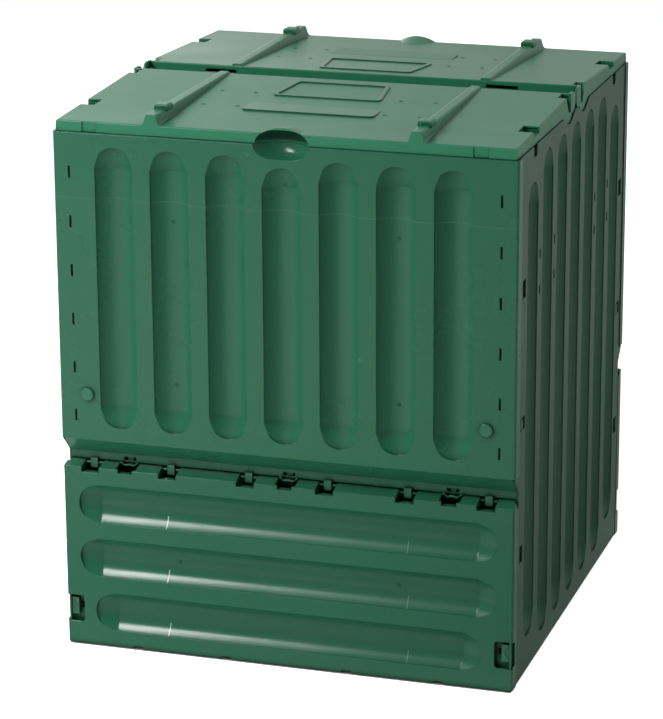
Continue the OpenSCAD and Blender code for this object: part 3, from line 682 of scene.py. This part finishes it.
@dataclass(frozen=True)
class NotchFloors:
    """Shelves that close the notches in a flap's top, in front of its hinge tabs and clips.

    Each is a thin shelf that joins the flap's front wall and slopes down a little to the rear.
    Lengths are in metres, and places are distances from the middle.
    """

    tab_floor: float = 0.277
    clip_floor: float = 0.279
    tab_places: tuple[float, ...] = (0.06125, 0.18375, 0.30625)
    clip_places: tuple[float, ...] = (0.0, 0.2506)
    tab_width: float = 0.0284
    clip_width: float = 0.0234
    front: float = 0.3572
    depth: float = 0.0122
    thickness: float = 0.0016
    fall: float = 0.0012
    edge: float = 0.0004

    def shelf(self, x: float, top: float, width: float, side: Side) -> bpy.types.Object:
        """Models one shelf at its place.

        Args:
            x: its middle.
            top: the height of its upper face at the front.
            width: its width.
            side: the half of the bin.

        Returns:
            The shelf's object.
        """
        deselect_all()
        middle = side.value * (self.front - self.depth / 2)
        bpy.ops.mesh.primitive_cube_add(size=1, location=(x, middle, top - self.thickness / 2))
        shelf = bpy.context.object
        shelf.scale = (width, self.depth, self.thickness)
        bpy.ops.object.transform_apply(location=False, rotation=False, scale=True)
        bpy.ops.object.mode_set(mode="EDIT")
        bpy.ops.mesh.select_all(action="DESELECT")
        mesh = bmesh.from_edit_mesh(shelf.data)
        for vert in mesh.verts:
            if vert.co.y * side.value < 0:
                vert.co.z -= self.fall
        mesh.select_flush_mode()
        bmesh.update_edit_mesh(shelf.data)
        bpy.ops.mesh.select_all(action="SELECT")
        bpy.ops.mesh.bevel(offset=self.edge, segments=2, affect="EDGES")
        bpy.ops.object.mode_set(mode="OBJECT")
        return shelf

    def build(self, material: bpy.types.Material) -> None:
        """Makes the shelves of both flaps, one joined piece for each flap.

        Args:
            material: the flaps' finish.
        """
        notches = (
            (self.tab_places, self.tab_floor, self.tab_width),
            (self.clip_places, self.clip_floor, self.clip_width),
        )
        for side in Side:
            shelves = [
                self.shelf(sign * x, top, width, side)
                for places, top, width in notches
                for x in places
                for sign in ((1,) if x == 0 else (-1, 1))
            ]
            name = f"{side.word}_flap_notch_floors"
            settle(join_all(shelves), name, material, f"{side.word}_flap_body")


@dataclass(frozen=True)
class SoftBox:
    """A rectangular soft lamp that the camera doesn't see: metres and watts.

    A lamp that isn't mirrored lights the plastic and doesn't show in its gloss.
    """

    name: str
    place: tuple[float, float, float]
    aim: tuple[float, float, float]
    size: tuple[float, float]
    power: float
    mirrored: bool = False

    def hang(self) -> None:
        """Puts the lamp at its place, facing its aim."""
        data = bpy.data.lights.new(self.name, "AREA")
        data.shape = "RECTANGLE"
        data.size, data.size_y = self.size
        data.energy = self.power
        lamp = bpy.data.objects.new(self.name, data)
        lamp.location = self.place
        lamp.visible_camera = False
        lamp.visible_glossy = self.mirrored
        lamp.rotation_euler = (Vector(self.aim) - Vector(self.place)).to_track_quat("-Z", "Y").to_euler()
        bpy.context.scene.collection.objects.link(lamp)


LAMPS = (
    # High on the left hang a narrow box, which the lying flutes mirror as a bright line, and a key.
    SoftBox("strip_box", (-1.4, -2.0, 2.5), (-1.4, -2.0, 0.0), (0.4, 1.6), 66.0, mirrored=True),
    SoftBox("key_box", (-1.9, -1.2, 2.5), (-1.9, -1.2, 0.0), (0.75, 1.6), 44.0),
    SoftBox("front_fill", (-1.2, -4.4, 1.7), (0.0, 0.0, 0.45), (1.8, 2.0), 16.0),
    # A lit sheet low in front: in the photo, faces that look up a little are darker than upright ones.
    SoftBox("low_sheet", (-0.85, -1.6, 0.06), (-0.35, -0.36, 0.42), (1.5, 0.8), 15.0),
    SoftBox("right_fill", (3.2, -0.3, 2.6), (0.35, 0.0, 0.5), (2.0, 2.0), 42.0),
    SoftBox("rear_fill", (-0.6, 4.2, 1.6), (0.0, 0.0, 0.45), (2.0, 2.0), 34.0),
)


@dataclass(frozen=True)
class Floor:
    """White paper under the bin, in metres and shares of white.

    The camera sees it glow, with painted shade under the bin. Light and gloss meet plain paper:
    dimmer in a band beside the right wall, bright again further out, and dimmer in gloss in front of
    the bin.
    """

    half: float = 6.0
    drop: float = 0.0005
    white: float = 0.86
    dip_span: tuple[float, float] = (0.36, 0.46)
    dip_white: float = 0.52
    rise_span: tuple[float, float] = (0.86, 1.12)
    rise: float = 0.28
    front_span: tuple[float, float] = (-0.60, -0.12)
    front_gloss: float = 0.3
    glow: float = 0.75
    seen_white: float = 0.92
    covered: float = 0.3625
    covered_squeeze: float = 1.045
    under_bin_shade_white: float = 0.35

    def build(self) -> None:
        """Makes the floor and its material."""
        bpy.ops.mesh.primitive_plane_add(size=2 * self.half, location=(0, 0, -self.drop))
        floor = bpy.context.object
        floor.name = "studio_floor"
        material = bpy.data.materials.new("white_studio_floor")
        material.use_nodes = True
        tree = material.node_tree
        tree.nodes.clear()
        path = add_node(tree, "ShaderNodeLightPath")
        place = add_node(tree, "ShaderNodeTexCoord").outputs["Object"]
        split = add_node(tree, SPLIT, None, {"Vector": place})
        paper = self.paper(tree, split, path.outputs["Is Glossy Ray"])
        seen = self.seen(tree, split)
        pick = add_node(
            tree, "ShaderNodeMixShader", None, {0: path.outputs["Is Camera Ray"], 1: paper, 2: seen}
        )
        add_node(tree, "ShaderNodeOutputMaterial", None, {"Surface": pick.outputs[0]})
        floor.data.materials.append(material)

    def paper(
        self, tree: bpy.types.NodeTree, split: bpy.types.Node, in_gloss: bpy.types.NodeSocket
    ) -> bpy.types.NodeSocket:
        """Builds the paper as light and gloss meet it.

        Args:
            tree: the material's node tree.
            split: the separated object coordinates.
            in_gloss: 1 for a glossy ray.

        Returns:
            The shader.
        """
        # Beside the right wall the paper is dim and further out bright, so the wall's top mirrors more.
        spans = ((self.dip_span, self.white, self.dip_white), (self.rise_span, 0.0, self.rise))
        dip, rise = (
            add_node(
                tree,
                MAP,
                {"From Min": span[0], "From Max": span[1], "To Min": start, "To Max": end},
                {"Value": split.outputs["X"]},
            ).outputs["Result"]
            for span, start, end in spans
        )
        across = add_node(tree, MATH, {"operation": "ADD"}, {0: dip, 1: rise})
        # In gloss the floor in front of the bin is dimmer, so the front keeps its full green.
        front = add_node(
            tree,
            MAP,
            {
                "From Min": self.front_span[0],
                "From Max": self.front_span[1],
                "To Min": self.front_gloss,
                "To Max": 1.0,
            },
            {"Value": split.outputs["Y"]},
        )
        dim = add_node(tree, MIX, {"data_type": "FLOAT", 2: 1.0}, {0: in_gloss, 3: front.outputs["Result"]})
        shade = add_node(tree, MATH, {"operation": "MULTIPLY"}, {0: across.outputs[0], 1: dim.outputs[0]})
        return add_node(tree, "ShaderNodeBsdfDiffuse", None, {"Color": shade.outputs[0]}).outputs[0]

    def seen(self, tree: bpy.types.NodeTree, split: bpy.types.Node) -> bpy.types.NodeSocket:
        """Builds the floor as the camera sees it: glowing white, and painted shade under the bin.

        Args:
            tree: the material's node tree.
            split: the separated object coordinates.

        Returns:
            The shader.
        """
        # The bin is a little narrower than deep, so X is stretched before the two are compared.
        stretch = {"operation": "MULTIPLY", 1: self.covered_squeeze}
        sideways = add_node(tree, MATH, stretch, {0: split.outputs["X"]})
        across = add_node(tree, MATH, {"operation": "ABSOLUTE"}, {0: sideways.outputs[0]})
        along = add_node(tree, MATH, {"operation": "ABSOLUTE"}, {0: split.outputs["Y"]})
        reach = add_node(tree, MATH, {"operation": "MAXIMUM"}, {0: across.outputs[0], 1: along.outputs[0]})
        beyond = {"operation": "GREATER_THAN", 1: self.covered}
        outside = add_node(tree, MATH, beyond, {0: reach.outputs[0]}).outputs[0]
        strength = add_node(tree, MATH, {"operation": "MULTIPLY", 1: self.glow}, {0: outside})
        # Painted shade: under the bin the floor is dark grey, which shows where a flap is open.
        levels = {"To Min": self.under_bin_shade_white, "To Max": self.seen_white}
        ground = add_node(tree, MAP, levels, {"Value": outside})
        white = add_node(tree, "ShaderNodeBsdfDiffuse", None, {"Color": ground.outputs["Result"]})
        glow = add_node(tree, "ShaderNodeEmission", {"Color": WHITE}, {"Strength": strength.outputs[0]})
        both = add_node(tree, "ShaderNodeAddShader", None, {0: white.outputs[0], 1: glow.outputs[0]})
        return both.outputs[0]


@dataclass(frozen=True)
class Room:
    """The surroundings: white to the camera, a pale wall behind the bin to gloss, grey to the rest.

    Spans are of the direction's own X, Y or Z, and levels are strengths.
    """

    grey_level: float = 0.22
    wall_level: float = 0.58
    wall_top: tuple[float, float] = (0.90, 1.0)
    wall_start: tuple[float, float] = (-0.1, 0.4)
    window_side: tuple[float, float] = (-0.40, -0.27)
    window_top: tuple[float, float] = (0.22, 0.32)
    window_level: float = 1.6
    dark_level: float = 0.06

    def build(self) -> None:
        """Makes the world and its nodes."""
        world = bpy.data.worlds.new("studio_room")
        bpy.context.scene.world = world
        world.use_nodes = True
        tree = world.node_tree
        tree.nodes.clear()
        path = add_node(tree, "ShaderNodeLightPath")
        view = add_node(tree, "ShaderNodeTexCoord").outputs["Generated"]
        split = add_node(tree, SPLIT, None, {"Vector": view})
        # The wall ends under a dim ceiling and stands behind the bin; in front the room is dark. Low on
        # the wall's left is a brighter patch, which the left part of the rear lid mirrors.
        spans = (
            ("Z", self.wall_top, self.wall_level, self.dark_level),
            ("Y", self.wall_start, 0.0, 1.0),
            ("X", self.window_side, 1.0, 0.0),
            ("Z", self.window_top, 1.0, 0.0),
        )
        height, behind, window_x, window_z = (
            add_node(
                tree,
                MAP,
                {"From Min": span[0], "From Max": span[1], "To Min": start, "To Max": end},
                {"Value": split.outputs[axis]},
            ).outputs["Result"]
            for axis, span, start, end in spans
        )
        window = add_node(tree, MATH, {"operation": "MULTIPLY"}, {0: window_x, 1: window_z})
        with_window = {"operation": "MULTIPLY_ADD", 1: self.window_level}
        wall = add_node(tree, MATH, with_window, {0: window.outputs[0], 2: height})
        shown = add_node(tree, MATH, {"operation": "MULTIPLY"}, {0: wall.outputs[0], 1: behind})
        level = add_node(tree, MATH, {"operation": "MAXIMUM", 1: self.dark_level}, {0: shown.outputs[0]})
        mirrored = add_node(tree, "ShaderNodeBackground", {"Color": WHITE}, {"Strength": level.outputs[0]})
        grey = add_node(tree, "ShaderNodeBackground", {"Color": WHITE, "Strength": self.grey_level})
        white = add_node(tree, "ShaderNodeBackground", {"Color": WHITE, "Strength": 1.0})
        unseen = add_node(
            tree,
            "ShaderNodeMixShader",
            None,
            {0: path.outputs["Is Glossy Ray"], 1: grey.outputs[0], 2: mirrored.outputs[0]},
        )
        pick = add_node(
            tree,
            "ShaderNodeMixShader",
            None,
            {0: path.outputs["Is Camera Ray"], 1: unseen.outputs[0], 2: white.outputs[0]},
        )
        add_node(tree, "ShaderNodeOutputWorld", None, {"Surface": pick.outputs[0]})


@dataclass(frozen=True)
class PhotoCamera:
    """The photograph's camera: degrees round the bin, metres, and a focal length in pixels."""

    azimuth: float = 17.432
    elevation: float = 16.909
    roll: float = -0.299
    distance: float = 4.9133
    focal_px: float = 3127.55
    target: tuple[float, float, float] = (-0.0389, 0.0, 0.3719)
    sensor_mm: float = 36.0
    clip_end: float = 60.0

    def build(self) -> None:
        """Sets the camera at the photograph's place, with its slight roll."""
        az, el, roll = (math.radians(v) for v in (self.azimuth, self.elevation, self.roll))
        outward = Vector((math.sin(az) * math.cos(el), -math.cos(az) * math.cos(el), math.sin(el)))
        right = Vector((math.cos(az), math.sin(az), 0))
        up = outward.cross(right)
        turned_right = right * math.cos(roll) + up * math.sin(roll)
        turned_up = up * math.cos(roll) - right * math.sin(roll)
        data = bpy.data.cameras.new("photo_camera")
        data.sensor_fit = "VERTICAL"
        data.sensor_height = self.sensor_mm
        data.lens = self.focal_px * self.sensor_mm / max(IMAGE_SIZE)
        data.clip_end = self.clip_end
        camera = bpy.data.objects.new("photo_camera", data)
        turn = Matrix((turned_right, turned_up, outward)).transposed().to_4x4()
        camera.matrix_world = Matrix.Translation(Vector(self.target) + outward * self.distance) @ turn
        bpy.context.scene.collection.objects.link(camera)
        bpy.context.scene.camera = camera


def node_names(*endings: str) -> list[str]:
    """Finds the CAD nodes whose names end with one of the given words.

    Args:
        endings: the words.

    Returns:
        The names, in alphabetical order.
    """
    return [name for name in sorted(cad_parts) if name.endswith(endings)]


def main() -> None:
    """Dresses the bin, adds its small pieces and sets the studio."""
    logging.basicConfig(level=logging.INFO, format="%(message)s")
    bpy.context.scene.view_settings.view_transform = "Standard"
    Family(SIDE_GREEN, node_names("side_panel")).dress()
    panel = Family(PANEL_GREEN, node_names("upper_panel")).dress()
    flap = Family(FLAP_GREEN, node_names("flap")).dress()
    lid = Family(LID_GREEN, node_names("lid")).dress()
    Family(LATCH_GREEN, node_names("latch")).dress()
    Family(TRIM_GREEN, node_names("stud", "clip")).dress()
    MouldMarks().build(lid, panel, flap)
    NotchFloors().build(flap)
    Floor().build()
    Room().build()
    for lamp in LAMPS:
        lamp.hang()
    PhotoCamera().build()
    LOG.info("wrote the two boxes")


if __name__ == "__main__":
    main()
